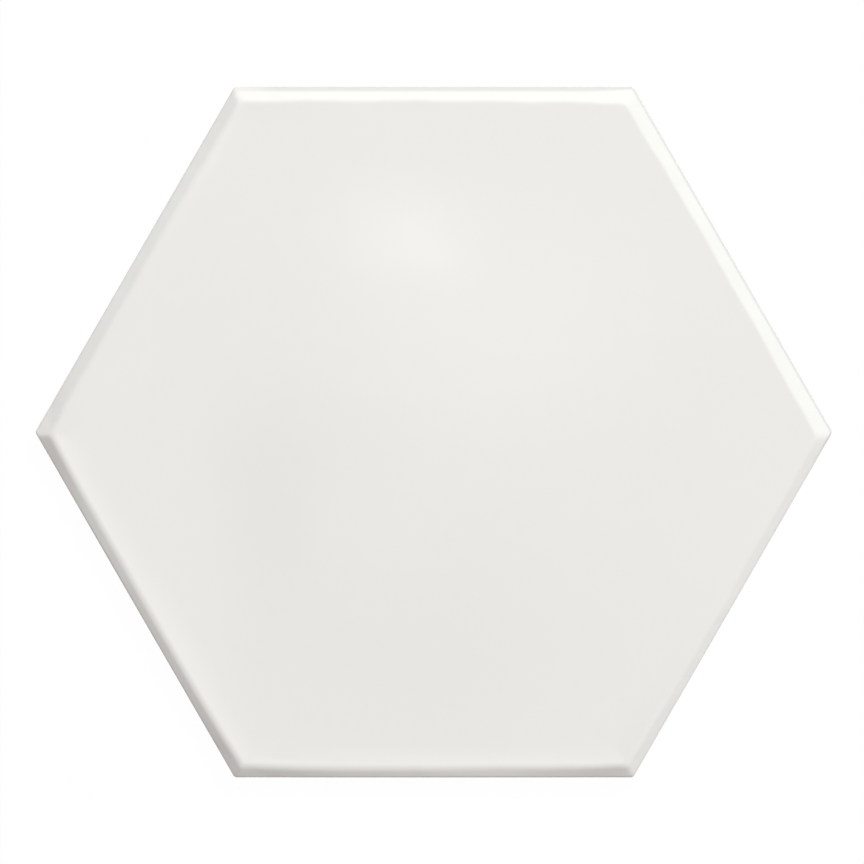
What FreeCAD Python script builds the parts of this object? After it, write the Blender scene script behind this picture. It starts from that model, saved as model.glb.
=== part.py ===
"""Hexagon floor tile: one dry-pressed, glazed ceramic piece with pillowed edges and a keyed back.

The tile lies flat, glazed face up. The origin is the middle of its back, +Z points out of the
face, and two of the six sides face +Y and -Y, so that two corners point along +X and -X.
All lengths are in millimetres.
"""

import FreeCAD, Part
import enum
import math
import os
import Sketcher

from FreeCAD import Vector
from Sketcher import Constraint

SIDES = 6
FULL_TURN = 360.0


class At(enum.IntEnum):
    """The point of a sketch's curve that a constraint holds."""

    START = 1
    END = 2
    MIDDLE = 3


# A sketch's own horizontal axis, and its origin, which is the start of that axis.
X_AXIS = -1
ORIGIN = (X_AXIS, At.START)

# The driving dimensions, with what each one is.
DIMENSIONS = [
    ("across_flats", 175.0, "side to opposite side, in plan"),
    ("thickness", 9.0, "back to face"),
    ("corner_radius", 1.0, "rounding of the six upright corners, in plan"),
    ("bevel_tilt", 32.0, "slope of the bevel's straight part, in degrees"),
    ("bevel_land", 1.7, "length of the bevel's straight part, down its slope"),
    ("pillow_radius", 3.0, "rounding from the flat face into the bevel"),
    ("arris_radius", 1.0, "rounding from the bevel into the side wall"),
    ("foot_chamfer", 0.5, "chamfer round the back"),
    ("key_depth", 0.6, "depth of the recesses in the back"),
    ("key_pitch", 16.5, "centre to centre of neighbouring recesses"),
    ("key_rib", 3.0, "width of the ribs between the recesses"),
    ("key_margin", 6.0, "least width of the plain rim round the recesses"),
    ("cut_clearance", 4.0, "how far a cutting profile stands clear of the tile"),
]

# How many rings of recesses the back has room for, round the plain pad in its middle.
KEY_RINGS = (
    "floor((Sizes.across_flats / 2 - Sizes.key_margin"
    " - (Sizes.key_pitch - Sizes.key_rib) / (2 * cos(30 deg)))"
    " / (Sizes.key_pitch * cos(30 deg)))"
)


def make_sheet(doc):
    """Puts the driving dimensions into a spreadsheet, one alias each, and returns it."""
    sheet = doc.addObject("Spreadsheet::Sheet", "Sizes")
    for row, (alias, value, meaning) in enumerate(DIMENSIONS, start=1):
        sheet.set(f"A{row}", alias)
        sheet.set(f"B{row}", str(value))
        sheet.set(f"C{row}", meaning)
        sheet.setAlias(f"B{row}", alias)
    doc.recompute()
    return sheet


def origin_feature(body, role):
    """The body's own origin plane or axis with that role."""
    return next(feature for feature in body.Origin.OriginFeatures if feature.Role == role)


def sketch_on(body, plane, name):
    """A new sketch of the body, attached to one of its origin planes."""
    sketch = body.newObject("Sketcher::SketchObject", name)
    sketch.AttachmentSupport = [(origin_feature(body, plane), "")]
    sketch.MapMode = "FlatFace"
    return sketch


def bind(sketch, name, expression, constraint):
    """Adds a driving constraint, names it and ties it to the spreadsheet."""
    index = sketch.addConstraint(constraint)
    sketch.renameConstraint(index, name)
    sketch.setExpression(f"Constraints.{name}", expression)


def draw_line(sketch, start, end, construction=False):
    return sketch.addGeometry(Part.LineSegment(start, end), construction)


def draw_arc(sketch, middle, radius, first_angle, last_angle):
    circle = Part.Circle(middle, Vector(0, 0, 1), radius)
    return sketch.addGeometry(Part.ArcOfCircle(circle, first_angle, last_angle), False)


def draw_hexagon(sketch, middle, inradius, first_angle):
    """Six equal lines with their corners on a construction circle: a regular hexagon.

    first_angle is the direction of the first corner, in degrees. The caller constrains the middle,
    the size and the turn. Returns the six lines in order, and the circle.
    """
    circumradius = inradius / math.cos(math.pi / SIDES)
    corners = []
    for i in range(SIDES):
        angle = math.radians(first_angle + i * FULL_TURN / SIDES)
        corners.append(middle + circumradius * Vector(math.cos(angle), math.sin(angle), 0))
    lines = [draw_line(sketch, corners[i], corners[(i + 1) % SIDES]) for i in range(SIDES)]
    circle = sketch.addGeometry(Part.Circle(middle, Vector(0, 0, 1), circumradius), True)
    for i, line in enumerate(lines):
        sketch.addConstraint(Constraint("Coincident", line, At.END, lines[(i + 1) % SIDES], At.START))
        sketch.addConstraint(Constraint("PointOnObject", line, At.START, circle))
    for line in lines[1:]:
        sketch.addConstraint(Constraint("Equal", lines[0], line))
    return lines, circle


def outline_sketch(body, sheet):
    """The tile's outline with sharp corners, on the plane of its back."""
    sketch = sketch_on(body, "XY_Plane", "Outline")
    lines, circle = draw_hexagon(sketch, Vector(0, 0, 0), sheet.across_flats / 2, 0)
    top_left, bottom_right = (lines[2], At.START), (lines[5], At.START)
    sketch.addConstraint(Constraint("Coincident", circle, At.MIDDLE, *ORIGIN))
    sketch.addConstraint(Constraint("PointOnObject", lines[0], At.START, X_AXIS))
    width = Constraint("DistanceY", *bottom_right, *top_left, sheet.across_flats)
    bind(sketch, "across_flats", "Sizes.across_flats", width)
    return sketch


def edge_names(shape, test):
    """Names of the shape's edges whose lowest and highest points pass a test."""
    boxes = [edge.BoundBox for edge in shape.Edges]
    return [f"Edge{i}" for i, box in enumerate(boxes, start=1) if test(box.ZMin, box.ZMax)]


def make_slab(body, sheet):
    """The hexagonal slab, with its upright corners rounded and its foot chamfered."""
    doc = body.Document
    slab = body.newObject("PartDesign::Pad", "Slab")
    slab.Profile = outline_sketch(body, sheet)
    slab.setExpression("Length", "Sizes.thickness")
    doc.recompute()

    half_height = sheet.thickness / 2
    corners = body.newObject("PartDesign::Fillet", "UprightCorners")
    corners.Base = (slab, edge_names(slab.Shape, lambda low, high: high - low > half_height))
    corners.setExpression("Radius", "Sizes.corner_radius")
    doc.recompute()

    foot = body.newObject("PartDesign::Chamfer", "Foot")
    foot.Base = (corners, edge_names(corners.Shape, lambda low, high: high < half_height))
    foot.setExpression("Size", "Sizes.foot_chamfer")
    doc.recompute()


def edge_profile_sketch(body, sheet):
    """What is cut away along one side: all that lies outside its pillow, bevel and arris.

    The sketch lies across the side that faces +Y. It runs down from the face as an arc, a straight
    slope and a tighter arc that ends upright on the side wall, each tangent to the next, and closes
    round the outside at the clearance.
    """
    sketch = sketch_on(body, "YZ_Plane", "EdgeProfile")
    wall, face = sheet.across_flats / 2, sheet.thickness
    tilt = math.radians(sheet.bevel_tilt)
    upright = math.pi / 2
    outwards = Vector(math.sin(tilt), math.cos(tilt), 0)
    downhill = Vector(math.cos(tilt), -math.sin(tilt), 0)

    bevel_width = (
        sheet.pillow_radius * math.sin(tilt)
        + sheet.bevel_land * math.cos(tilt)
        + sheet.arris_radius * (1 - math.sin(tilt))
    )
    pillow_middle = Vector(wall - bevel_width, face - sheet.pillow_radius, 0)
    slope_top = pillow_middle + sheet.pillow_radius * outwards
    slope_foot = slope_top + sheet.bevel_land * downhill
    arris_middle = slope_foot - sheet.arris_radius * outwards
    face_end = Vector(wall - bevel_width, face, 0)
    wall_top = Vector(wall, arris_middle.y, 0)
    right, above = wall + sheet.cut_clearance, face + sheet.cut_clearance

    pillow = draw_arc(sketch, pillow_middle, sheet.pillow_radius, upright - tilt, upright)
    slope = draw_line(sketch, slope_top, slope_foot)
    arris = draw_arc(sketch, arris_middle, sheet.arris_radius, 0, upright - tilt)
    shelf = draw_line(sketch, wall_top, Vector(right, wall_top.y, 0))
    outside = draw_line(sketch, Vector(right, wall_top.y, 0), Vector(right, above, 0))
    lid = draw_line(sketch, Vector(right, above, 0), Vector(face_end.x, above, 0))
    inside = draw_line(sketch, Vector(face_end.x, above, 0), face_end)

    for constraint in (
        Constraint("Tangent", pillow, At.START, slope, At.START),
        Constraint("Tangent", slope, At.END, arris, At.END),
        Constraint("Coincident", arris, At.START, shelf, At.START),
        Constraint("Coincident", shelf, At.END, outside, At.START),
        Constraint("Coincident", outside, At.END, lid, At.START),
        Constraint("Coincident", lid, At.END, inside, At.START),
        Constraint("Coincident", inside, At.END, pillow, At.END),
        Constraint("Horizontal", shelf),
        Constraint("Vertical", outside),
        Constraint("Horizontal", lid),
        Constraint("Vertical", inside),
        Constraint("Vertical", pillow, At.MIDDLE, pillow, At.END),
        Constraint("Horizontal", arris, At.MIDDLE, arris, At.START),
    ):
        sketch.addConstraint(constraint)

    clear = sheet.cut_clearance
    for name, expression, constraint in (
        ("pillow_radius", "Sizes.pillow_radius", Constraint("Radius", pillow, sheet.pillow_radius)),
        ("arris_radius", "Sizes.arris_radius", Constraint("Radius", arris, sheet.arris_radius)),
        ("bevel_land", "Sizes.bevel_land", Constraint("Distance", slope, sheet.bevel_land)),
        ("bevel_tilt", "-Sizes.bevel_tilt * 1 deg", Constraint("Angle", *ORIGIN, slope, At.START, -tilt)),
        ("wall", "Sizes.across_flats / 2", Constraint("DistanceX", *ORIGIN, arris, At.START, wall)),
        ("face", "Sizes.thickness", Constraint("DistanceY", *ORIGIN, pillow, At.END, face)),
        ("beside", "Sizes.cut_clearance", Constraint("DistanceX", shelf, At.START, shelf, At.END, clear)),
        ("above", "Sizes.cut_clearance", Constraint("DistanceY", inside, At.END, inside, At.START, clear)),
    ):
        bind(sketch, name, expression, constraint)
    return sketch


def bevel_sides(body, sheet):
    """Cuts the edge profile along one side and repeats it round the tile, mitred at the corners."""
    bevel = body.newObject("PartDesign::Pocket", "Bevel")
    bevel.Profile = edge_profile_sketch(body, sheet)
    bevel.Type = "ThroughAll"
    bevel.SideType = "Symmetric"
    body.Document.recompute()

    bevels = body.newObject("PartDesign::PolarPattern", "Bevels")
    bevels.Originals = [bevel]
    bevels.Axis = (origin_feature(body, "Z_Axis"), [""])
    bevels.Angle = FULL_TURN
    bevels.Occurrences = SIDES
    body.Tip = bevels
    body.Document.recompute()


def recess_sketch(body, sheet):
    """One recess of the back, the first to the right of the middle, and the way to a neighbour.

    Its flats face its neighbours. The construction line is the second direction of the rows.
    """
    sketch = sketch_on(body, "XY_Plane", "Recess")
    middle = Vector(sheet.key_pitch, 0, 0)
    width = sheet.key_pitch - sheet.key_rib
    lines, circle = draw_hexagon(sketch, middle, width / 2, FULL_TURN / SIDES / 2)
    right_flat, right_corner, left_corner = lines[5], (lines[0], At.START), (lines[2], At.START)
    turn = math.radians(FULL_TURN / 3)
    row_end = middle + width * Vector(math.cos(turn), -math.sin(turn), 0)
    row = draw_line(sketch, middle, row_end, construction=True)

    sketch.addConstraint(Constraint("PointOnObject", circle, At.MIDDLE, X_AXIS))
    sketch.addConstraint(Constraint("Vertical", right_flat))
    sketch.addConstraint(Constraint("Coincident", row, At.START, circle, At.MIDDLE))
    sketch.addConstraint(Constraint("Angle", row, -turn))
    for name, expression, constraint in (
        ("place", "Sizes.key_pitch", Constraint("DistanceX", *ORIGIN, circle, At.MIDDLE, middle.x)),
        (
            "width",
            "Sizes.key_pitch - Sizes.key_rib",
            Constraint("DistanceX", *left_corner, *right_corner, width),
        ),
        ("row_length", "Sizes.key_pitch - Sizes.key_rib", Constraint("Distance", row, width)),
    ):
        bind(sketch, name, expression, constraint)
    return sketch


def key_back(body, sheet):
    """Recesses in the back, which the bedding mortar grips.

    A block of rows, turned to three places, fills rings of recesses round the middle of the back.
    The middle itself stays a plain pad.
    """
    doc = body.Document
    recess = body.newObject("PartDesign::Pocket", "KeyRecess")
    recess.Profile = recess_sketch(body, sheet)
    recess.Reversed = True
    recess.setExpression("Length", "Sizes.key_depth")
    doc.recompute()

    recesses = body.newObject("PartDesign::MultiTransform", "KeyRecesses")
    row = body.newObject("PartDesign::LinearPattern", "KeyRow")
    row.Direction = (recess.Profile[0], ["H_Axis"])
    row.Mode = "Spacing"
    row.setExpression("Offset", "Sizes.key_pitch")
    row.setExpression("Occurrences", KEY_RINGS)
    block = body.newObject("PartDesign::LinearPattern", "KeyBlock")
    block.Direction = (recess.Profile[0], ["Axis0"])
    block.Mode = "Spacing"
    block.setExpression("Offset", "Sizes.key_pitch")
    block.setExpression("Occurrences", "KeyRow.Occurrences + 1")
    turns = body.newObject("PartDesign::PolarPattern", "KeyTurns")
    turns.Axis = (origin_feature(body, "Z_Axis"), [""])
    turns.Angle = FULL_TURN
    turns.Occurrences = 3
    recesses.Originals = [recess]
    recesses.Transformations = [row, block, turns]
    body.Tip = recesses
    doc.recompute()


def check_model(doc, body):
    """Stops with a message if an object failed, a cut took nothing or the tile isn't one solid."""
    failed = [obj.Name for obj in doc.Objects if {"Invalid", "Error"} & set(obj.State)]
    if failed:
        raise RuntimeError(f"failed to compute: {failed}")
    if body.Shape.isNull() or not body.Shape.isValid() or len(body.Shape.Solids) != 1:
        raise RuntimeError(f"{body.Label} is not one valid solid")
    for name in ("UprightCorners", "Foot", "Bevel", "Bevels", "KeyRecess", "KeyRecesses"):
        feature = doc.getObject(name)
        if feature.Shape.Volume >= feature.BaseFeature.Shape.Volume:
            raise RuntimeError(f"{name} takes nothing away")


def main():
    doc = FreeCAD.newDocument("HexagonFloorTile")
    sheet = make_sheet(doc)
    body = doc.addObject("PartDesign::Body", "Tile")
    body.Label = "hexagon_tile"
    make_slab(body, sheet)
    bevel_sides(body, sheet)
    key_back(body, sheet)
    check_model(doc, body)
    os.makedirs("parts", exist_ok=True)
    body.Shape.exportStep(f"parts/{body.Label}.step")
    print(f"{body.Label}: {body.Shape.Volume:.0f} mm3, {len(body.Shape.Faces)} faces")


main()
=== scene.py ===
"""A hexagon floor tile: one dry-pressed piece of stoneware under a white gloss glaze, lying face up.

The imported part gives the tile's outline and thickness. This file gives it the surface that shows:
the pressed edge, the uneven glaze, the bare body below the glaze line and the keyed back. Lengths
are in metres. +Z points out of the face, and +Y is up in the picture.
"""

import logging
from dataclasses import dataclass, field
from enum import Enum
from functools import partial
from math import copysign, cos, pi, radians, sin, tan
from typing import Any

import bpy
from bpy.types import ID, Material, Mesh, Node, NodeSocket, NodeTree, Object
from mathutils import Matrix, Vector

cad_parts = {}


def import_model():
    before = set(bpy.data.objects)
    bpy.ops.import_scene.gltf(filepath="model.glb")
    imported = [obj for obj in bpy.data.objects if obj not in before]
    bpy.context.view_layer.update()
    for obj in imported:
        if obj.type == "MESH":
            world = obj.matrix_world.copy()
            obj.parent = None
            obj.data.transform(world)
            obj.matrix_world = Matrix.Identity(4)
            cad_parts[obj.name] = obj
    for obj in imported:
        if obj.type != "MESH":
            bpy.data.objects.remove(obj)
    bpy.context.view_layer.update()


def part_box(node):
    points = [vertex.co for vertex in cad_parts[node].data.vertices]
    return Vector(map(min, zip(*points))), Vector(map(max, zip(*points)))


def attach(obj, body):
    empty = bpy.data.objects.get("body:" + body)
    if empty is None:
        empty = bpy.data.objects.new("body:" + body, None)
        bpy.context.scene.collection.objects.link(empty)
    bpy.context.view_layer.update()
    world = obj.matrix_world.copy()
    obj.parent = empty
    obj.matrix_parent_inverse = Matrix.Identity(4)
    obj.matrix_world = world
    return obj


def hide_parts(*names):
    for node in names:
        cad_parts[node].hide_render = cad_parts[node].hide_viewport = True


MM = 0.001
SIDES = 6
HALF_CORNER = radians(30)
UPRIGHT = radians(90)
THIRD_TURN = radians(120)

CAD_NODE = "hexagon_tile"

# Point attributes that the mesh carries from one stage to the next.
DEPTH = "depth"
# The second says where the glaze's colour carries painted shade over the arris.
ARRIS_SHADE_ATTRIBUTE = "glaze_thinning"

# The noise of the wanders, and the two values that nearly all of it lies between.
STRAY_DETAIL = 2.5
STRAY_ROUGHNESS = 0.6
STRAY_SPREAD = (0.2, 0.8)

# Points that are closer are made one, and edges that bend by more are shaded sharp.
WELD = 0.001 * MM
SHARP_BEND = radians(30)

MATH = "ShaderNodeMath"
VECTOR_MATH = "ShaderNodeVectorMath"
NOISE = "ShaderNodeTexNoise"
MAP_RANGE = "ShaderNodeMapRange"
MIX = "ShaderNodeMix"
COMBINE = "ShaderNodeCombineXYZ"
SET_POSITION = "GeometryNodeSetPosition"
SET_MATERIAL = "GeometryNodeSetMaterial"
JOIN = "GeometryNodeJoinGeometry"
REALIZE = "GeometryNodeRealizeInstances"

Pair = tuple[float, float]
Inputs = dict[str | int, Any] | tuple[Any, ...]

log = logging.getLogger("hexagon_floor_tile")


def linear(colour: str) -> tuple[float, float, float, float]:
    """Turns an sRGB hex colour into the linear colour that a shader takes.

    Args:
        colour: Six hex digits after a hash sign.

    Returns:
        Red, green, blue, and an alpha of one.
    """
    shares = [int(colour[i : i + 2], 16) / 255 for i in (1, 3, 5)]
    red, green, blue = (s / 12.92 if s <= 0.04045 else ((s + 0.055) / 1.055) ** 2.4 for s in shares)
    return red, green, blue, 1.0


def toward(azimuth: float) -> Vector:
    """The level way at an angle from +X, as a vector of length one."""
    return Vector((cos(azimuth), sin(azimuth), 0))


def add_node(tree: NodeTree, kind: str, inputs: Inputs = (), **settings: Any) -> Node:
    """Adds a node to a tree, with its settings and what feeds it.

    Args:
        tree: The tree that gets the node.
        kind: The node's type.
        inputs: What each input gets, by its name or number, or in their order: a value, a socket, a
            node, which stands for its first output in use, or a list of nodes that all feed it.
        **settings: The node's own properties.

    Returns:
        The new node.
    """
    node = tree.nodes.new(kind)
    for name, value in settings.items():
        setattr(node, name, value)
    for key, given in inputs.items() if isinstance(inputs, dict) else enumerate(inputs):
        if isinstance(key, int):
            target = node.inputs[key]
        else:
            target = next(socket for socket in node.inputs if socket.enabled and socket.name == key)
        for value in given if isinstance(given, list) else [given]:
            if isinstance(value, Node):
                value = next(socket for socket in value.outputs if socket.enabled)
            if isinstance(value, NodeSocket):
                tree.links.new(value, target)
            else:
                target.default_value = value
    return node


def open_material(name: str) -> Material:
    """Makes a material with an empty tree."""
    material = bpy.data.materials.new(name)
    material.use_nodes = True
    material.node_tree.nodes.clear()
    return material


def add_object(name: str, data: ID) -> Object:
    """Adds an object to the scene."""
    added = bpy.data.objects.new(name, data)
    bpy.context.scene.collection.objects.link(added)
    return added


def level_square(name: str, half: float) -> Mesh:
    """Makes a level square round the origin, half as wide as it says."""
    mesh = bpy.data.meshes.new(name)
    corners = [(-half, -half, 0), (half, -half, 0), (half, half, 0), (-half, half, 0)]
    mesh.from_pydata(corners, [], [(0, 1, 2, 3)])
    return mesh


class Side(Enum):
    """The six sides, anticlockwise, each by the direction that it faces, in degrees from +X."""

    UPPER_RIGHT = 30
    TOP = 90
    UPPER_LEFT = 150
    LOWER_LEFT = 210
    BOTTOM = 270
    LOWER_RIGHT = 330

    @property
    def normal(self) -> Vector:
        """The way that the side faces."""
        return toward(radians(self.value))

    @property
    def along(self) -> Vector:
        """The way along the side, anticlockwise."""
        return Vector((-self.normal.y, self.normal.x, 0))


@dataclass(frozen=True)
class PressedEdge:
    """The section that the die gives each side: a pillow, a straight bevel and an arris.

    Args:
        pillow_radius: Rounding from the flat face into the bevel.
        bevel_land: Length of the straight part, down its slope.
        tilt: Slope of the straight part.
        arris_radius: Rounding from the bevel into the side wall.
    """

    pillow_radius: float = 3.0 * MM
    bevel_land: float = 1.7 * MM
    tilt: float = radians(32)
    arris_radius: float = 1.0 * MM

    @property
    def arris_width(self) -> float:
        """How far the arris reaches in plan."""
        return self.arris_radius * (1 - sin(self.tilt))

    @property
    def width(self) -> float:
        """How far the whole edge reaches in plan."""
        pillow_width = self.pillow_radius * sin(self.tilt)
        return pillow_width + self.bevel_land * cos(self.tilt) + self.arris_width


@dataclass(frozen=True)
class Wander:
    """A smooth, seeded stray to either side of a value.

    Args:
        reach: How far it strays.
        length: How long its waves are.
        seed: Which wander it is.
    """

    reach: float
    length: float
    seed: int = 12


@dataclass(frozen=True)
class WallStep:
    """One ring round the side wall, on the way down from the arris to the back.

    Args:
        height: Height above the back, or above the glaze line if the ring follows it.
        inset: How far the ring stands in from the outline.
        glazed: Whether the ring follows the glaze line. The strip that ends at any other is bare.
    """

    height: float
    inset: float
    glazed: bool


@dataclass(frozen=True)
class GlossGlaze:
    """White gloss glaze, made opaque with zircon, sprayed on and fired.

    A fired glaze is a shallow coat of glass. It mirrors softly and looks milky, with faint clouds
    where the coat is thicker. Over the arris on the sides towards the lamp it carries a grey painted shade.

    Args:
        white: Its colour between the clouds.
        cloud: Its colour in the clouds.
        thin: The colour of the painted shade over the arris.
        cloud_size: How large the clouds are.
        peel_size: How large the dimples are that the spray leaves.
        peel_height: How deep they are.
        ior: How much it bends light, which sets how much it mirrors.
        roughness: How rough it is between the clouds, and in them.
    """

    white: str = "#ECEBE7"
    cloud: str = "#EAE9E4"
    thin: str = "#D6D6D3"
    cloud_size: float = 40 * MM
    peel_size: float = 2.2 * MM
    peel_height: float = 0.002 * MM
    ior: float = 1.52
    roughness: Pair = (0.06, 0.10)

    def material(self) -> Material:
        """The glaze's material."""
        material = open_material("white_gloss_glaze_fired")
        add = partial(add_node, material.node_tree)
        place = add("ShaderNodeTexCoord").outputs["Object"]
        clouds = add(NOISE, {"Vector": place, "Scale": 1 / self.cloud_size, "Detail": 3.0})
        tones = {"Factor": clouds, "A": linear(self.white), "B": linear(self.cloud)}
        milky = add(MIX, tones, data_type="RGBA")
        # Painted shade: the colour turns grey over the arris on the sides towards the lamp.
        thinning = add("ShaderNodeAttribute", attribute_name=ARRIS_SHADE_ATTRIBUTE).outputs["Fac"]
        colour = add(MIX, {"Factor": thinning, "A": milky, "B": linear(self.thin)}, data_type="RGBA")
        low, high = self.roughness
        gloss = add(MAP_RANGE, {"Value": clouds, "To Min": low, "To Max": high})
        peel = add(NOISE, {"Vector": place, "Scale": 1 / self.peel_size, "Detail": 1.0})
        bump = add("ShaderNodeBump", {"Height": peel, "Distance": self.peel_height})
        coat = {"Base Color": colour, "Roughness": gloss, "IOR": self.ior, "Normal": bump}
        add("ShaderNodeOutputMaterial", {"Surface": add("ShaderNodeBsdfPrincipled", coat)})
        return material


@dataclass(frozen=True)
class BareStoneware:
    """Unglazed stoneware, pressed from dry powder in a steel die and fired.

    The bare body is matt and creamy. It shows the powder's grain and a few darker specks of iron.
    The die drags the grain out into fine upright lines on the walls, and leaves it round on the back.

    Args:
        cream: Its lighter colour.
        shade: Its darker colour.
        speck: The colour of the specks.
        grain_size: How large the grains are.
        grain_height: How high they stand.
        die_drag: What heights are multiplied by in the grain's pattern, which draws it out upright.
        speck_pitch: How far the specks are from each other.
        speck_size: How large they are.
        speck_strength: How strongly they show.
        patch_size: How large the patches of the two colours are.
        roughness: How matt it is.
    """

    cream: str = "#DED4C4"
    shade: str = "#CFC4B2"
    speck: str = "#9A8B78"
    grain_size: float = 0.5 * MM
    grain_height: float = 0.03 * MM
    die_drag: float = 0.12
    speck_pitch: float = 3.0 * MM
    speck_size: float = 0.25 * MM
    speck_strength: float = 0.7
    patch_size: float = 12 * MM
    roughness: float = 0.85

    def material(self) -> Material:
        """The bare body's material."""
        material = open_material("bare_stoneware_dry_pressed")
        add = partial(add_node, material.node_tree)
        place = add("ShaderNodeTexCoord").outputs["Object"]
        patches = add(NOISE, {"Vector": place, "Scale": 1 / self.patch_size, "Detail": 4.0})
        tones = {"Factor": patches, "A": linear(self.cream), "B": linear(self.shade)}
        creamy = add(MIX, tones, data_type="RGBA")
        specks = add("ShaderNodeTexVoronoi", {"Vector": place, "Scale": 1 / self.speck_pitch})
        share = self.speck_size / self.speck_pitch
        fade = {"From Min": share / 2, "From Max": share, "To Min": self.speck_strength, "To Max": 0.0}
        spotted = add(MAP_RANGE, {"Value": specks.outputs["Distance"], **fade})
        colour = add(MIX, {"Factor": spotted, "A": creamy, "B": linear(self.speck)}, data_type="RGBA")
        drawn = add(VECTOR_MATH, (place, (1, 1, self.die_drag)), operation="MULTIPLY")
        grain = add(NOISE, {"Vector": drawn, "Scale": 1 / self.grain_size, "Detail": 2.0})
        bump = add("ShaderNodeBump", {"Height": grain, "Distance": self.grain_height})
        matt = {"Base Color": colour, "Roughness": self.roughness, "Normal": bump}
        add("ShaderNodeOutputMaterial", {"Surface": add("ShaderNodeBsdfPrincipled", matt)})
        return material


@dataclass
class HexagonTile:
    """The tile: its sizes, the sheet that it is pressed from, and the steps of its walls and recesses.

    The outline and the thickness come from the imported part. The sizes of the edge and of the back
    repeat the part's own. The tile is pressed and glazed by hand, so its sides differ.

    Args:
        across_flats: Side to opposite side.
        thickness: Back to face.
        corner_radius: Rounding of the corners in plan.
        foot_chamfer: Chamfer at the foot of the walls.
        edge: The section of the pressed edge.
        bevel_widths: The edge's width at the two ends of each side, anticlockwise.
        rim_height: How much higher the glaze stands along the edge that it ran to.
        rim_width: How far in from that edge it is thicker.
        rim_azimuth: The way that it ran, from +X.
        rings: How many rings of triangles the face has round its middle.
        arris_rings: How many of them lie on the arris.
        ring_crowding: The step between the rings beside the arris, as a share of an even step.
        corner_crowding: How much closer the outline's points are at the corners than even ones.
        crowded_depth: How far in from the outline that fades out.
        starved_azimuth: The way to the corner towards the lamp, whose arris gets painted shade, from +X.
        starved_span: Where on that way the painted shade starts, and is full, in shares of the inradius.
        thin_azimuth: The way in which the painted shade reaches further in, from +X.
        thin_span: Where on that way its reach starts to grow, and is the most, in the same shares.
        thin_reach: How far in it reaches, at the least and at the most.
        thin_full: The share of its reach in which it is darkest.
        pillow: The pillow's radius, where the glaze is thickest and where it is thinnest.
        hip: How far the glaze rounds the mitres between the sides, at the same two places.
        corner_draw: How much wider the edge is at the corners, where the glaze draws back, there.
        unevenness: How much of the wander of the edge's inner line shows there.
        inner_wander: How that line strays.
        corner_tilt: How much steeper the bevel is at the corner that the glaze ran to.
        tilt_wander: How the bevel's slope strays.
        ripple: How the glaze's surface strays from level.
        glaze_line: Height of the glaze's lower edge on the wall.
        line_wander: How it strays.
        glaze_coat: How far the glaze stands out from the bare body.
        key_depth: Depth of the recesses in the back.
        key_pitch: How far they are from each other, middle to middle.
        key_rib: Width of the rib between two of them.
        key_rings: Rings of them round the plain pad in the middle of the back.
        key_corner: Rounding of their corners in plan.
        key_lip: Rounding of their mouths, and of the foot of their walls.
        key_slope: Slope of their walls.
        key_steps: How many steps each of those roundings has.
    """

    across_flats: float
    thickness: float
    corner_radius: float = 1.0 * MM
    foot_chamfer: float = 0.5 * MM
    edge: PressedEdge = PressedEdge()
    bevel_widths: dict[Side, Pair] = field(
        default_factory=lambda: {
            Side.UPPER_RIGHT: (4.05 * MM, 3.75 * MM),
            Side.TOP: (4.3 * MM, 4.1 * MM),
            Side.UPPER_LEFT: (3.45 * MM, 4.25 * MM),
            Side.LOWER_LEFT: (3.4 * MM, 3.3 * MM),
            Side.BOTTOM: (3.15 * MM, 3.25 * MM),
            Side.LOWER_RIGHT: (3.05 * MM, 3.0 * MM),
        }
    )
    rim_height: float = 0.44 * MM
    rim_width: float = 7 * MM
    rim_azimuth: float = radians(230)
    rings: int = 112
    arris_rings: int = 6
    ring_crowding: float = 0.25
    corner_crowding: float = 0.8
    crowded_depth: float = 30 * MM
    # Painted shade over the arris, on the sides towards the lamp, reaching further in to the upper left.
    starved_azimuth: float = radians(58)
    starved_span: Pair = (0.5, 0.6)
    thin_azimuth: float = radians(150)
    thin_span: Pair = (-0.02, 0.1)
    thin_reach: Pair = (0.8 * MM, 1.7 * MM)
    thin_full: float = 0.35
    pillow: Pair = (3.4 * MM, 1.5 * MM)
    hip: Pair = (0.9 * MM, 2.2 * MM)
    corner_draw: Pair = (0.75 * MM, 0.35 * MM)
    unevenness: Pair = (0.6, 2.0)
    inner_wander: Wander = Wander(0.3 * MM, 20 * MM)
    corner_tilt: float = radians(7.5)
    tilt_wander: Wander = Wander(radians(3), 26 * MM, seed=222)
    ripple: Wander = Wander(0.012 * MM, 9 * MM)
    glaze_line: float = 4.4 * MM
    line_wander: Wander = Wander(0.9 * MM, 14 * MM)
    glaze_coat: float = 0.14 * MM
    key_depth: float = 0.6 * MM
    key_pitch: float = 16.5 * MM
    key_rib: float = 3.0 * MM
    key_rings: int = 5
    key_corner: float = 1.2 * MM
    key_lip: float = 0.25 * MM
    key_slope: float = radians(75)
    key_steps: int = 3

    @property
    def inradius(self) -> float:
        """The middle to a side."""
        return self.across_flats / 2

    @property
    def side_length(self) -> float:
        """The length of a side between sharp corners."""
        return self.across_flats * tan(HALF_CORNER)

    @property
    def key_width(self) -> float:
        """The width of a recess in the back, side to side."""
        return self.key_pitch - self.key_rib

    def ring_depth(self, ring: int) -> float:
        """Gives the distance of a ring from the outline.

        Args:
            ring: The ring's number, from the middle.

        Returns:
            Even turns of the arris for the outer rings, and then steps that grow inwards.
        """
        from_outline = self.rings - ring
        if from_outline < self.arris_rings:
            turn = UPRIGHT - (UPRIGHT - self.edge.tilt) * from_outline / self.arris_rings
            return self.edge.arris_radius * (1 - sin(turn))
        share = (from_outline - self.arris_rings) / (self.rings - self.arris_rings)
        graded = self.ring_crowding * share + (1 - self.ring_crowding) * share**2
        return self.edge.arris_width + (self.inradius - self.edge.arris_width) * graded

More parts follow.
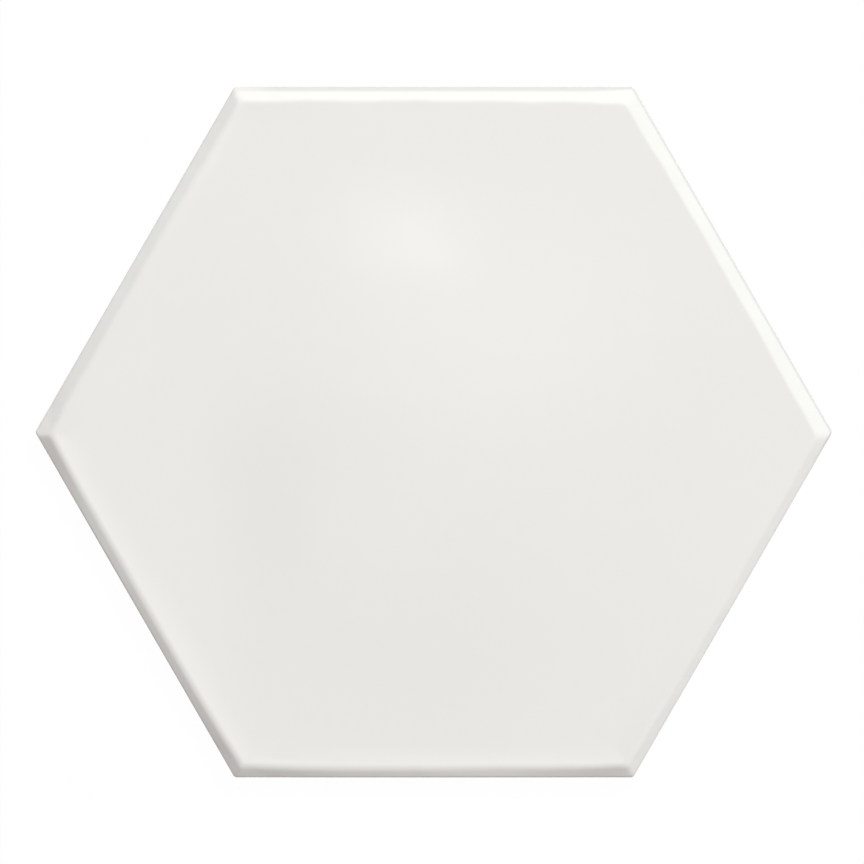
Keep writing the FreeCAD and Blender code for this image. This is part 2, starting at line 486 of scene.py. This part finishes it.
    def ring_point(self, side: Side, share: float, depth: float) -> Vector:
        """Gives a point of the ring that lies at some depth from the outline.

        Args:
            side: The side that the point belongs to.
            share: How far along the side it is, from -1 to 1, before the points crowd to the corners.
            depth: The ring's distance from the outline.

        Returns:
            The point, on the corner's arc where the ring has one.
        """
        out = self.inradius - depth
        half_side = out * tan(HALF_CORNER)
        crowding = self.corner_crowding * max(0.0, 1 - depth / self.crowded_depth)
        across = half_side * (share + crowding * sin(pi * share) / pi)
        rounding = max(0.0, self.corner_radius - depth)
        straight = half_side - rounding * tan(HALF_CORNER)
        if abs(across) > straight:
            spoke = Vector((rounding, abs(across) - straight)).normalized() * rounding
            out += spoke.x - rounding
            across = copysign(straight + spoke.y, across)
        return side.normal * out + side.along * across

    @staticmethod
    def ring_index(ring: int, step: int) -> int:
        """The number of a ring's point, counted round the ring."""
        return 1 + SIDES * ring * (ring - 1) // 2 + step % (SIDES * ring) if ring else 0

    def blank(self) -> Mesh:
        """Makes the flat sheet that is pressed: triangles in hexagonal rings round the middle.

        The rings crowd together towards the outline, and their points towards the corners, because
        the edge's curves and the mitres are there. The face has no pole.

        Returns:
            The sheet, with each point's distance from the outline as an attribute.
        """
        points, depths, faces = [Vector()], [self.inradius], []
        index = self.ring_index
        for ring in range(1, self.rings + 1):
            depth = self.ring_depth(ring)
            for side in Side:
                points += [self.ring_point(side, 2 * step / ring - 1, depth) for step in range(ring)]
            depths += [depth] * (SIDES * ring)
            for turn in range(SIDES):
                outer, inner = turn * ring, turn * (ring - 1)
                for step in range(ring):
                    base = index(ring, outer + step), index(ring, outer + step + 1)
                    faces.append((*base, index(ring - 1, inner + step)))
                for step in range(ring - 1):
                    base = index(ring - 1, inner + step + 1), index(ring - 1, inner + step)
                    faces.append((index(ring, outer + step + 1), *base))
        mesh = bpy.data.meshes.new("blank")
        mesh.from_pydata(points, [], faces)
        mesh.attributes.new(DEPTH, "FLOAT", "POINT").data.foreach_set("value", depths)
        return mesh

    def wall_steps(self) -> list[WallStep]:
        """The rings of the side wall: the glaze's rounded lower edge, the bare wall and its foot."""
        coat, foot = self.glaze_coat, self.foot_chamfer
        lip = ((1.6, 0.0), (0.6, 0.2), (0.0, 0.7), (0.0, 1.0))
        steps = [WallStep(height * coat, inset * coat, glazed=True) for height, inset in lip]
        return [*steps, WallStep(foot, coat, glazed=False), WallStep(0.0, coat + foot, glazed=False)]

    def recess_steps(self) -> list[Pair]:
        """Gives the section of a recess, from its mouth to its floor.

        Returns:
            For each ring how far it stands in from the mouth, and how deep it is.
        """
        steep, lip = self.key_slope, self.key_lip
        turns = [steep * step / self.key_steps for step in range(self.key_steps + 1)]
        steps = [(lip * sin(turn), lip * (1 - cos(turn))) for turn in turns[1:]]
        inset, deep = steps[-1]
        wall_end = self.key_depth - lip * (1 - cos(steep))
        inset += (wall_end - deep) / tan(steep)
        for turn in reversed(turns):
            across = inset + lip * (sin(steep) - sin(turn))
            steps.append((across, self.key_depth - lip * (1 - cos(turn))))
        return steps

    def build(self, glaze: GlossGlaze, body: BareStoneware) -> Object:
        """Makes the tile.

        Args:
            glaze: The finish of the face.
            body: The finish of the bare body.

        Returns:
            The tile's object, with a plain closed mesh.
        """
        piece = add_object("glazed_hexagon_tile", self.blank())
        glazed, bare = glaze.material(), body.material()
        piece.data.polygons.foreach_set("use_smooth", [True] * len(piece.data.polygons))
        FacePress(self).press(piece, glazed, bare)
        BackPress(self).press(piece, bare)
        return piece


class Press:
    """A Geometry Nodes tree that works on the tile's mesh."""

    def __init__(self, tile: HexagonTile, name: str, sizes: dict[str, float | int]) -> None:
        """Starts the tree, which takes a mesh and gives a mesh.

        Args:
            tile: The tile that it works on.
            name: The tree's name.
            sizes: The named sizes that it takes, each of which becomes an input.
        """
        self.tile, self.sizes = tile, sizes
        self.tree = bpy.data.node_groups.new(name, "GeometryNodeTree")
        for way in ("OUTPUT", "INPUT"):
            self.tree.interface.new_socket("Mesh", in_out=way, socket_type="NodeSocketGeometry")
        for label, value in sizes.items():
            kind = "NodeSocketInt" if isinstance(value, int) else "NodeSocketFloat"
            self.tree.interface.new_socket(label, in_out="INPUT", socket_type=kind)
        self.add = partial(add_node, self.tree)
        self.size = self.add("NodeGroupInput").outputs

    def border(self) -> Node:
        """Adds the choice of the edges that have a face on one side only."""
        return self.add(MATH, (self.add("GeometryNodeInputMeshEdgeNeighbors"), 2.0), operation="LESS_THAN")

    def run(self, piece: Object, shape: Node) -> None:
        """Ends the tree, runs it and keeps what it gives as a plain mesh.

        Args:
            piece: The object whose mesh goes in and is replaced.
            shape: The node that gives the new shape.
        """
        self.add("NodeGroupOutput", {"Mesh": self.add(REALIZE, {"Geometry": shape})})
        modifier = piece.modifiers.new(self.tree.name, "NODES")
        modifier.node_group = self.tree
        for socket in self.tree.interface.items_tree:
            if socket.in_out == "INPUT" and socket.name in self.sizes:
                modifier[socket.identifier] = self.sizes[socket.name]
        graph = bpy.context.evaluated_depsgraph_get()
        result = bpy.data.meshes.new_from_object(
            piece.evaluated_get(graph), preserve_all_data_layers=True, depsgraph=graph
        )
        piece.modifiers.remove(modifier)
        piece.data = result


class FacePress(Press):
    """The tree that presses the blank: the face, its edge and the walls."""

    def __init__(self, tile: HexagonTile) -> None:
        """Starts the tree, with what several of its parts read.

        Args:
            tile: The tile that it presses.
        """
        edge = tile.edge
        sizes = {
            "edge_width": edge.width,
            "bevel_tilt": edge.tilt,
            "bevel_slope": tan(edge.tilt),
            "arris_radius": edge.arris_radius,
            "arris_start": edge.arris_radius * sin(edge.tilt),
            "arris_height": edge.arris_radius * cos(edge.tilt),
        }
        for name in ("inradius", "thickness", "corner_tilt", "rim_height", "rim_width", "glaze_line"):
            sizes[name] = getattr(tile, name)
        for name in ("pillow", "hip", "corner_draw", "unevenness"):
            sizes[f"{name} wet"], sizes[f"{name} dry"] = getattr(tile, name)
        for name in ("inner_wander", "tilt_wander", "ripple", "line_wander"):
            for part, value in vars(getattr(tile, name)).items():
                sizes[f"{name} {part}"] = value
        super().__init__(tile, "press_face", sizes)
        self.place = self.add("GeometryNodeInputPosition")
        self.depth = self.add("GeometryNodeInputNamedAttribute", {"Name": DEPTH})

        # The glaze ran to one side of the tile. It evens the pressed line out there, and stands up in a
        # soft rim. On the other side it is thin.
        self.pooled = self.ramp(tile.rim_azimuth, (-1.0, 1.0))
        self.dry = self.add(MATH, (1.0, self.pooled), operation="SUBTRACT")

        # Nought in the circle that touches the edge's inner line, and one at the corners.
        far = self.add(VECTOR_MATH, (self.place,), operation="LENGTH")
        inner = tile.inradius - edge.width
        ends = {"From Min": inner, "From Max": inner / cos(HALF_CORNER)}
        near = self.add(MAP_RANGE, {"Value": far, **ends})
        self.cornered = self.add(MATH, (near, near), operation="MULTIPLY")

    def ramp(self, azimuth: float, span: Pair, given: Pair = (0.0, 1.0)) -> Node:
        """Adds a value that changes in one direction across the tile.

        Args:
            azimuth: The direction, from +X.
            span: Where the change starts and where it ends, in shares of the inradius.
            given: The value before it, and after it.

        Returns:
            The node that gives the value.
        """
        run = self.add(VECTOR_MATH, (self.place, toward(azimuth)), operation="DOT_PRODUCT")
        start, end = (share * self.tile.inradius for share in span)
        ends = {"From Min": start, "From Max": end, "To Min": given[0], "To Max": given[1]}
        return self.add(MAP_RANGE, {"Value": run, **ends})

    def by_glaze(self, name: str) -> Node:
        """Adds the value of a pair of the tile's, by how thick the glaze is."""
        ends = {"To Min": self.size[f"{name} wet"], "To Max": self.size[f"{name} dry"]}
        return self.add(MAP_RANGE, {"Value": self.dry, **ends})

    def stray(self, name: str) -> Node:
        """Adds one of the tile's wanders.

        Args:
            name: Which of them.

        Returns:
            The node that gives it, from minus to plus its reach.
        """
        reach, length, seed = (self.size[f"{name} {part}"] for part in ("reach", "length", "seed"))
        scale = self.add(MATH, (1.0, length), operation="DIVIDE")
        form = {"W": seed, "Scale": scale, "Detail": STRAY_DETAIL, "Roughness": STRAY_ROUGHNESS}
        noise = self.add(NOISE, {"Vector": self.place, **form}, noise_dimensions="4D")
        least = self.add(MATH, (reach, -1.0), operation="MULTIPLY")
        low, high = STRAY_SPREAD
        ends = {"From Min": low, "From Max": high, "To Min": least, "To Max": reach}
        return self.add(MAP_RANGE, {"Value": noise, **ends})

    def arc(self, radius: Node | NodeSocket, beside: Node) -> Node:
        """Adds the height of a circle's arc above its middle.

        Args:
            radius: The circle's radius.
            beside: How far to the side of its middle the height is taken.

        Returns:
            The node that gives the height.
        """
        whole = self.add(MATH, (radius, radius), operation="MULTIPLY")
        part = self.add(MATH, (beside, beside), operation="MULTIPLY")
        rest = self.add(MATH, (whole, part), operation="SUBTRACT")
        level = self.add(MATH, (rest, 0.0), operation="MAXIMUM")
        return self.add(MATH, (level,), operation="SQRT")

    def outward(self) -> Node:
        """Adds how far each point lies out from the edge's inner line, with mitres at the corners.

        Returns:
            The node that gives it, below nought on the flat of the face.
        """
        add, size = self.add, self.size
        hip = self.by_glaze("hip")
        inward = None
        for side in Side:
            # A side with a narrower edge counts as further away.
            first, last = self.tile.bevel_widths[side]
            lean = side.normal + side.along * (last - first) / self.tile.side_length
            narrowing = self.tile.edge.width - (first + last) / 2
            reach = add(VECTOR_MATH, (self.place, lean), operation="DOT_PRODUCT")
            kept = add(MATH, (reach, narrowing), operation="SUBTRACT")
            away = add(MATH, (size["inradius"], kept), operation="SUBTRACT")
            if inward:
                away = add(MATH, (inward, away, hip), operation="SMOOTH_MIN")
            inward = away
        stray, share = self.stray("inner_wander"), self.by_glaze("unevenness")
        inward = add(MATH, (stray, share, inward), operation="MULTIPLY_ADD")

        # The glaze draws back at the corners, so that the edge widens towards them.
        drawn = add(MATH, (self.cornered, self.by_glaze("corner_draw")), operation="MULTIPLY")
        inward = add(MATH, (inward, drawn), operation="SUBTRACT")
        return add(MATH, (size["edge_width"], inward), operation="SUBTRACT")

    def bevel_fall(self, outward: Node) -> Node:
        """Adds how far the pillow and the bevel have fallen at each point.

        Args:
            outward: How far each point lies out from the edge's inner line.

        Returns:
            The node that gives the fall.
        """
        add, size = self.add, self.size
        # The bevel is uneven along the sides, and steeper at the corners that the glaze ran to.
        steeper = add(MATH, (self.cornered, self.pooled), operation="MULTIPLY")
        tilt = add(MATH, (steeper, size["corner_tilt"], size["bevel_tilt"]), operation="MULTIPLY_ADD")
        tilt = add(MATH, (tilt, self.stray("tilt_wander")), operation="ADD")
        slope = add(MATH, (tilt,), operation="TANGENT")
        pillow_share = add(MATH, (tilt,), operation="SINE")

        # The pillow is an arc from the flat face, and the bevel goes on from it in a straight slope. Thin
        # glaze leaves the pillow crisper.
        radius = self.by_glaze("pillow")
        width = add(MATH, (radius, pillow_share), operation="MULTIPLY")
        on_pillow = add("ShaderNodeClamp", {"Value": outward, "Max": width})
        fall = add(MATH, (radius, self.arc(radius, on_pillow)), operation="SUBTRACT")
        past = add(MATH, (outward, width), operation="SUBTRACT")
        on_bevel = add(MATH, (past, 0.0), operation="MAXIMUM")
        return add(MATH, (on_bevel, slope, fall), operation="MULTIPLY_ADD")

    def arris_fall(self) -> Node:
        """Adds how far the arris falls away below the line that the bevel's slope would follow.

        Returns:
            The node that gives it, with the outline's own rounding.
        """
        add, size = self.add, self.size
        beside = add(MATH, (size["arris_radius"], self.depth), operation="SUBTRACT")
        on_arris = add(MATH, (beside, size["arris_start"]), operation="MAXIMUM")
        arris = self.arc(size["arris_radius"], on_arris)
        along = add(MATH, (on_arris, size["arris_start"]), operation="SUBTRACT")
        sloped = add(MATH, (along, size["bevel_slope"]), operation="MULTIPLY")
        line = add(MATH, (size["arris_height"], sloped), operation="SUBTRACT")
        return add(MATH, (line, arris), operation="SUBTRACT")

    def height(self) -> Node:
        """Adds the height that each point of the blank is pressed to.

        Returns:
            The node that gives it, with the glaze's soft rim and its ripple.
        """
        add, size = self.add, self.size
        outward = self.outward()
        fall = add(MATH, (self.bevel_fall(outward), self.arris_fall()), operation="ADD")
        rim_start = add(MATH, (size["rim_width"], -1.0), operation="MULTIPLY")
        within = add(MAP_RANGE, {"Value": outward, "From Min": rim_start, "From Max": 0.0})
        rim = add(MATH, (within, within), operation="MULTIPLY")
        rim = add(MATH, (rim, self.pooled), operation="MULTIPLY")
        lack = add(MATH, (1.0, rim), operation="SUBTRACT")
        fall = add(MATH, (lack, size["rim_height"], fall), operation="MULTIPLY_ADD")
        level = add(MATH, (size["thickness"], fall), operation="SUBTRACT")
        level = add(MATH, (level, self.stray("ripple")), operation="ADD")
        return add(MATH, (level, size["thickness"]), operation="MINIMUM")

    def thinning(self) -> Node:
        """Adds the painted shade over the arris on the lamp's side: one at its darkest, nought elsewhere.

        Returns:
            The node that gives it. It reaches further in on one side of the lamp's corner than on the other.
        """
        add, tile = self.add, self.tile
        reach = self.ramp(tile.thin_azimuth, tile.thin_span, tile.thin_reach)
        full = add(MATH, (reach, tile.thin_full), operation="MULTIPLY")
        ends = {"From Min": full, "From Max": reach, "To Min": 1.0, "To Max": 0.0}
        thin = add(MAP_RANGE, {"Value": self.depth, **ends}, interpolation_type="SMOOTHSTEP")
        on_lit_side = self.ramp(tile.starved_azimuth, tile.starved_span)
        return add(MATH, (thin, on_lit_side), operation="MULTIPLY")

    def walls(self, shape: Node, body: Material) -> Node:
        """Adds the walls, which grow down from the outline, ring by ring.

        Args:
            shape: The node that gives the pressed face.
            body: What the wall below the glaze line is dressed in.

        Returns:
            The node that gives the face with its walls.
        """
        add, inradius = self.add, self.tile.inradius
        stray = self.stray("line_wander")
        glaze_line = add(MATH, (self.size["glaze_line"], stray), operation="ADD")
        border = self.border()
        drawn_in = 0.0
        for step in self.tile.wall_steps():
            shrink = (inradius - step.inset) / (inradius - drawn_in)
            drawn_in = step.inset
            level = add(MATH, (glaze_line, float(step.glazed), step.height), operation="MULTIPLY_ADD")
            lift = add(COMBINE, {"Z": level})
            flat = add(VECTOR_MATH, (self.place, (shrink, shrink, 0.0)), operation="MULTIPLY")
            spot = add(VECTOR_MATH, (flat, lift), operation="ADD")
            start = {"Mesh": shape, "Selection": border, "Offset Scale": 0.0}
            grown = add("GeometryNodeExtrudeMesh", start, mode="EDGES")
            border = grown.outputs["Top"]
            shape = add(SET_POSITION, {"Geometry": grown, "Selection": border, "Position": spot})
            if not step.glazed:
                strip = grown.outputs["Side"]
                shape = add(SET_MATERIAL, {"Geometry": shape, "Selection": strip, "Material": body})
        return shape

    def press(self, piece: Object, glaze: Material, body: Material) -> None:
        """Presses the blank to a tile that is open at the back.

        Args:
            piece: The object that has the blank.
            glaze: What the face and the upper wall are dressed in.
            body: What the wall below the glaze line is dressed in.
        """
        add = self.add
        plan = add("ShaderNodeSeparateXYZ", (self.place,)).outputs
        spot = add(COMBINE, (plan["X"], plan["Y"], self.height()))
        shape = add(SET_POSITION, {"Geometry": self.size["Mesh"], "Position": spot})
        # The mask of the painted shade over the arris is kept for the glaze's colour.
        kept = {"Geometry": shape, "Name": ARRIS_SHADE_ATTRIBUTE, "Value": self.thinning()}
        shape = add("GeometryNodeStoreNamedAttribute", kept)
        shape = add(SET_MATERIAL, {"Geometry": shape, "Material": glaze})
        self.run(piece, self.walls(shape, body))


class BackPress(Press):
    """The tree that closes the back, with its recesses for the mortar."""

    def __init__(self, tile: HexagonTile) -> None:
        """Starts the tree.

        Args:
            tile: The tile whose back it closes.
        """
        names = ("key_pitch", "key_width", "key_corner", "key_rings")
        super().__init__(tile, "key_back", {name: getattr(tile, name) for name in names})

    def recess(self) -> Node:
        """Adds one recess in the middle of the back, pressed in from its mouth, step by step.

        Returns:
            The node that gives the recess, open at the mouth.
        """
        add, size = self.add, self.size
        half = add(MATH, (size["key_width"], 2 * cos(HALF_CORNER)), operation="DIVIDE")
        mouth = add("GeometryNodeCurvePrimitiveCircle", {"Resolution": SIDES, "Radius": half})
        rounding = {"Curve": mouth, "Radius": size["key_corner"], "Count": self.tile.key_steps}
        mouth = add("GeometryNodeFilletCurve", rounding, mode="POLY")
        mouth = add("GeometryNodeTransform", {"Geometry": mouth, "Rotation": (0, 0, HALF_CORNER)})
        cup = add("GeometryNodeFillCurve", {"Curve": mouth}, mode="NGONS")
        half_width = self.tile.key_width / 2
        reached, deep = 0.0, 0.0
        bottom = True
        for inset, depth in self.tile.recess_steps():
            shrink = (half_width - inset) / (half_width - reached)
            start = {"Mesh": cup, "Selection": bottom, "Offset Scale": depth - deep}
            sunk = add("GeometryNodeExtrudeMesh", start, mode="FACES")
            bottom = sunk.outputs["Top"]
            cup = add("GeometryNodeScaleElements", {"Geometry": sunk, "Selection": bottom, "Scale": shrink})
            reached, deep = inset, depth
        return add("GeometryNodeFlipFaces", {"Mesh": cup})

    def recesses(self) -> Node:
        """Adds the rings of recesses: rows of them in a block, turned to three places.

        Returns:
            The node that gives them all.
        """
        add, size = self.add, self.size
        step = add(COMBINE, (size["key_pitch"],))
        turned = add("ShaderNodeVectorRotate", {"Vector": step, "Angle": -THIRD_TURN}, rotation_type="Z_AXIS")
        rings = size["key_rings"]
        row = add("GeometryNodeMeshLine", {"Count": rings, "Start Location": step, "Offset": step})
        more = add(MATH, (rings, 1.0), operation="ADD")
        column = add("GeometryNodeMeshLine", {"Count": more, "Offset": turned})
        block = add("GeometryNodeInstanceOnPoints", {"Points": row, "Instance": column})
        block = add(REALIZE, {"Geometry": block})
        block = add("GeometryNodeInstanceOnPoints", {"Points": block, "Instance": self.recess()})
        block = add(REALIZE, {"Geometry": block})
        thirds = [block]
        for third in (1, 2):
            spin = {"Geometry": block, "Rotation": (0, 0, third * THIRD_TURN)}
            thirds.append(add("GeometryNodeTransform", spin))
        return add(JOIN, {"Geometry": thirds})

    def press(self, piece: Object, body: Material) -> None:
        """Closes the back with the recesses and the lands between them.

        Args:
            piece: The object that has the tile with an open back.
            body: What the back is dressed in.
        """
        add = self.add
        recesses = add(SET_MATERIAL, {"Geometry": self.recesses(), "Material": body})
        open_back = add(JOIN, {"Geometry": [self.size["Mesh"], recesses]})
        rims = add("GeometryNodeMeshToCurve", {"Mesh": open_back, "Selection": self.border()})
        lands = add("GeometryNodeFillCurve", {"Curve": rims}, mode="TRIANGLES")
        lands = add("GeometryNodeFlipFaces", {"Mesh": lands})
        lands = add(SET_MATERIAL, {"Geometry": lands, "Material": body})
        lands = add("GeometryNodeSetShadeSmooth", {"Geometry": lands, "Shade Smooth": False}, domain="FACE")
        whole = add(JOIN, {"Geometry": [open_back, lands]})
        whole = add("GeometryNodeMergeByDistance", {"Geometry": whole, "Distance": WELD})
        bend = add("GeometryNodeInputMeshEdgeAngle")
        sharp = add(MATH, (bend, SHARP_BEND), operation="GREATER_THAN")
        creased = {"Geometry": whole, "Selection": sharp, "Shade Smooth": False}
        whole = add("GeometryNodeSetShadeSmooth", creased, domain="EDGE")
        self.run(piece, whole)


@dataclass(frozen=True)
class SoftLamp:
    """A round soft box that points at the middle of the tile.

    The photo shows no glint of it, so the gloss doesn't mirror it.

    Args:
        azimuth: The way to it in plan, from +X.
        elevation: Its height above the horizon.
        distance: How far away it is.
        size: Its diameter.
        share: The share that it gives of the light on a level surface, where one is the light at
            which a colour renders as it is written.
        colour: The colour of its light.
    """

    azimuth: float = radians(58)
    elevation: float = radians(54.5)
    distance: float = 5.0
    size: float = 1.4
    share: float = 0.79
    colour: str = "#FBFFFE"

    def hang(self) -> None:
        """Adds the lamp to the scene."""
        way = toward(self.azimuth) * cos(self.elevation)
        way.z = sin(self.elevation)
        lamp = bpy.data.lights.new("key_soft_box", "AREA")
        lamp.shape = "DISK"
        lamp.size = self.size
        lamp.color = linear(self.colour)[:3]
        lamp.energy = self.share * pi / way.z * pi * self.distance**2
        holder = add_object("key_soft_box", lamp)
        holder.location = way * self.distance
        holder.rotation_euler = way.to_track_quat("Z", "Y").to_euler()
        holder.visible_glossy = False


@dataclass(frozen=True)
class SoftPatch:
    """A soft patch of the surroundings, lighter or darker than the white sky.

    It shows only in the gloss of the glaze, and fades out towards its edge.

    Args:
        middle: Where it hangs, in millimetres.
        reach: How far it reaches to each side, and along its length, in millimetres.
        brightness: How bright its middle is, where the sky is one.
        tint: What colour its light has.
        turn: How far it is turned about the vertical, anticlockwise, in degrees.
        pitch: How far it is tipped up before that, from level, in degrees.
    """

    middle: tuple[float, float, float]
    reach: Pair
    brightness: float
    tint: str = "#FFFFFF"
    turn: float = 0.0
    pitch: float = 0.0

    def hang(self) -> Object:
        """Adds the patch to the scene.

        Returns:
            The patch's object.
        """
        mesh = level_square("soft_patch", 1)
        material = open_material("soft_patch")
        # Only the gloss finds the patch. It is no lamp, so it takes no light samples from the real one.
        material.cycles.emission_sampling = "NONE"
        add = partial(add_node, material.node_tree)
        place = add("ShaderNodeTexCoord").outputs["Object"]
        away = add(VECTOR_MATH, (place,), operation="LENGTH")
        cover = add(MAP_RANGE, {"Value": away, "To Min": 1.0, "To Max": 0.0}, interpolation_type="SMOOTHSTEP")
        clear = add("ShaderNodeBsdfTransparent")
        glow = add("ShaderNodeEmission", {"Color": linear(self.tint), "Strength": self.brightness})
        shader = add("ShaderNodeMixShader", (cover, clear, glow))
        add("ShaderNodeOutputMaterial", {"Surface": shader})
        mesh.materials.append(material)
        patch = add_object("soft_patch", mesh)
        patch.location = [part * MM for part in self.middle]
        patch.scale = (self.reach[0] * MM, self.reach[1] * MM, 1)
        patch.rotation_euler = (radians(self.pitch), 0, radians(self.turn))
        patch.visible_camera = False
        patch.visible_diffuse = False
        patch.visible_shadow = False
        return patch


@dataclass(frozen=True)
class Studio:
    """A pale floor, a pale sky, one soft lamp and a camera that looks straight down.

    Args:
        picture: The picture's width and height, in pixels.
        tile_in_picture: How wide the tile is across flats in the picture, in pixels.
        off_middle: How far the tile is from the picture's middle, to the right and down, in pixels.
        camera_height: The camera's height above the floor.
        sky_share: The share that the sky gives of the light on a level surface.
        sky_colour: The colour of that light, a little pinker than the lamp's.
        shown_white: The share of plain white in the floor that the camera sees. The rest is lit, and
            keeps the tile's shadow.
        floor_size: The floor's width and length.
        floor_gap: How far the floor lies below the tile's back, so that the two don't show through
            each other.
        floor_colour: The colour of the card on the floor.
        lamp: The lamp.
        patches: What the gloss mirrors besides the sky.
    """

    picture: int = 864
    tile_in_picture: float = 691.4
    off_middle: Pair = (1.8, 0.1)
    camera_height: float = 2.5
    sky_share: float = 0.24
    sky_colour: str = "#FFF0F4"
    shown_white: float = 0.985
    floor_size: float = 12.0
    floor_gap: float = 0.02 * MM
    floor_colour: str = "#F6F6F4"
    lamp: SoftLamp = SoftLamp()
    patches: tuple[SoftPatch, ...] = (
        # The light clouds in the upper part of the face, and the dark ones in the left and lower parts.
        SoftPatch((20, 38, 520), (72, 52), 1.8),
        SoftPatch((-10, 61, 500), (34, 24), 2.5),
        SoftPatch((0, 55, 480), (16, 5), 3.8, turn=-25),
        SoftPatch((-50, -21, 480), (23, 50), 0.1, turn=8),
        SoftPatch((-36, -5, 500), (40, 26), 0.5),
        SoftPatch((-8, -64, 520), (96, 52), 0.52),
        # The light strip along the lower left side.
        SoftPatch((-91, -39, 470), (18, 75), 1.5, turn=30),
        # What the bevels mirror: the top, the upper right, the upper left, and the two lower left ones.
        SoftPatch((-160, 900, 450), (550, 500), 1.8, "#F6F5FF", 190, 90),
        SoftPatch((780, 450, 450), (450, 500), 0.6, "#D0E8FF", 120, 90),
        SoftPatch((-780, 450, 450), (450, 500), 1.05, "#C2E2FF", 240, 90),
        SoftPatch((-580, -690, 450), (1300, 600), 0.06, turn=320, pitch=90),
        # These two light the middles of the lower left and the bottom bevels.
        SoftPatch((-260, -122, 100), (25, 120), 1.1, turn=300, pitch=90),
        SoftPatch((16, -286, 100), (25, 120), 1.5, pitch=90),
        # These two lie low over the soft rim and by the left corner, where the glaze would else mirror
        # the darkest patch.
        SoftPatch((-67, -39, 50), (8, 85), 1.1, turn=30),
        SoftPatch((-81, 11, 50), (12, 36), 1.15, turn=-30),
    )

    def floor(self) -> Object:
        """Makes the pale floor."""
        mesh = level_square("studio_floor", self.floor_size / 2)
        floor = add_object("studio_floor", mesh)
        floor.location.z = -self.floor_gap
        material = open_material("matt_white_card")
        add = partial(add_node, material.node_tree)
        lit = add("ShaderNodeBsdfDiffuse", {"Color": linear(self.floor_colour)})
        white = add("ShaderNodeEmission", {"Color": (1, 1, 1, 1), "Strength": 1.0})
        seen = self.add_seen(material.node_tree)
        share = add(MATH, (seen, self.shown_white), operation="MULTIPLY")
        shader = add("ShaderNodeMixShader", (share, lit, white))
        add("ShaderNodeOutputMaterial", {"Surface": shader})
        mesh.materials.append(material)
        return floor

    def add_seen(self, tree: NodeTree) -> Node:
        """Adds what is one for rays that show a background, straight or in gloss, to a tree."""
        path = add_node(tree, "ShaderNodeLightPath").outputs
        either = add_node(tree, MATH, (path["Is Camera Ray"], path["Is Glossy Ray"]), operation="MAXIMUM")
        return add_node(tree, MATH, (either, path["Is Transmission Ray"]), operation="MAXIMUM")

    def sky(self) -> None:
        """Makes the even light from all round, which shows as white."""
        world = bpy.data.worlds.new("studio_sky")
        world.use_nodes = True
        tree = world.node_tree
        tree.nodes.clear()
        add = partial(add_node, tree)
        fill = add("ShaderNodeBackground", {"Color": linear(self.sky_colour), "Strength": self.sky_share})
        white = add("ShaderNodeBackground", {"Color": (1, 1, 1, 1), "Strength": 1.0})
        shader = add("ShaderNodeMixShader", (self.add_seen(tree), fill, white))
        add("ShaderNodeOutputWorld", {"Surface": shader})
        bpy.context.scene.world = world

    def camera(self, tile: HexagonTile) -> None:
        """Makes the camera, with a long lens that frames the tile as in the picture.

        Args:
            tile: The tile, whose widest part is at the top of its walls.
        """
        lens = bpy.data.cameras.new("camera")
        frame = tile.across_flats * self.picture / self.tile_in_picture
        lens.lens = lens.sensor_width * (self.camera_height - tile.thickness) / frame
        lens.clip_end = 100
        right, down = (shift * tile.across_flats / self.tile_in_picture for shift in self.off_middle)
        camera = add_object("camera", lens)
        camera.location = (-right, down, self.camera_height)
        bpy.context.scene.camera = camera

    def set_up(self, tile: HexagonTile) -> None:
        """Puts the floor, the light and the camera round the tile."""
        self.floor()
        self.sky()
        self.lamp.hang()
        for patch in self.patches:
            patch.hang()
        self.camera(tile)
        bpy.context.scene.view_settings.view_transform = "Standard"


def main() -> None:
    """Builds the tile and its studio, and reports them."""
    logging.basicConfig(level=logging.INFO, format="%(name)s: %(message)s")
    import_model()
    low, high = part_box(CAD_NODE)
    tile = HexagonTile(across_flats=high.y - low.y, thickness=high.z)
    piece = tile.build(GlossGlaze(), BareStoneware())
    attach(piece, "root")
    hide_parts(CAD_NODE)
    log.info("%s: %d triangles", piece.name, sum(len(face.vertices) - 2 for face in piece.data.polygons))
    Studio().set_up(tile)


if __name__ == "__main__":
    main()
